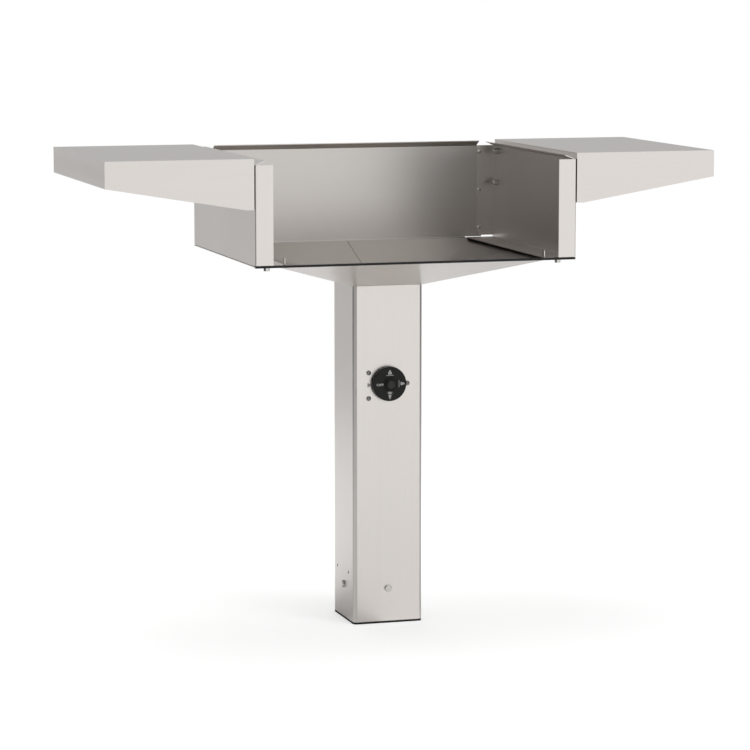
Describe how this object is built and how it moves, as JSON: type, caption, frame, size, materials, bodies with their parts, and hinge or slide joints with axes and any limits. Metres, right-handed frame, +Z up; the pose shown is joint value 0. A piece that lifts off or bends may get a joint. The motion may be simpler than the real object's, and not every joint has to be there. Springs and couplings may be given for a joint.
{
  "type": "park bbq grill pedestal",
  "caption": "Stainless steel pedestal for a drop-in gas grill head: square post with gas control knob, funnel, open-fronted cradle and tapered side shelves.",
  "frame": {"origin": "on the ground, on the axis of the square post, at the centre of the ground bolt pattern", "axes": "+Z up, +X to the right as seen from the open front, +Y from the front to the rear"},
  "size_m": [1.1764, 0.4785, 0.914],
  "materials": {
    "rubber_black": "soft black rubber pad",
    "zinc_steel": "zinc plated steel",
    "brushed_steel": "brushed stainless steel sheet",
    "bright_steel": "polished stainless steel fasteners",
    "black_trim": "black edge strip",
    "brass": "plain machined brass",
    "spring_steel": "spring wire",
    "knob_black": "black moulded plastic",
    "copper": "copper pipe"
  },
  "bodies": {
    "pedestal": {"base_gasket": "rubber_black", "base_socket": "zinc_steel", "base_grommet": "rubber_black", "post": "brushed_steel", "post_base_bolts": "bright_steel", "post_base_nuts": "zinc_steel", "post_top_frame": "zinc_steel", "rear_access_cover": "brushed_steel", "access_cover_screws": "bright_steel", "funnel": "brushed_steel", "funnel_bolts": "bright_steel", "funnel_nuts": "bright_steel", "front_edge_trim": "black_trim", "left_side_panel": "brushed_steel", "right_side_panel": "brushed_steel", "rear_panel": "brushed_steel", "rear_panel_screws": "bright_steel", "cradle_studs": "bright_steel", "cradle_nuts": "bright_steel", "left_shelf": "brushed_steel", "right_shelf": "brushed_steel", "shelf_spacers": "black_trim", "shelf_bolts": "bright_steel", "shelf_cap_nuts": "bright_steel", "valve_bracket": "zinc_steel", "valve_bracket_screws": "bright_steel", "valve_bracket_nuts": "zinc_steel", "valve_body": "brass", "valve_bush": "brass", "return_spring": "spring_steel", "igniter_unit": "black_trim", "inlet_pipe": "copper", "inlet_union": "brass", "outlet_pipe": "copper", "outlet_union": "brass"},
    "push_collar": {"thrust_washer": "bright_steel"},
    "knob": {"control_knob": "knob_black", "knob_hub": "knob_black", "valve_stem": "brass"}
  },
  "joints": [
    {"name": "knob_push", "type": "slide", "parent": "pedestal", "child": "push_collar", "axis": [0, 1, 0], "range_m": [0, 0.003], "stiffness_N_per_m": 1500, "springref_m": -0.002, "deforming": ["return_spring"]},
    {"name": "knob_turn", "type": "hinge", "parent": "push_collar", "child": "knob", "pos_m": [0, -0.073, 0.4675], "axis": [0, -1, 0], "range_deg": [0, 270]}
  ]
}
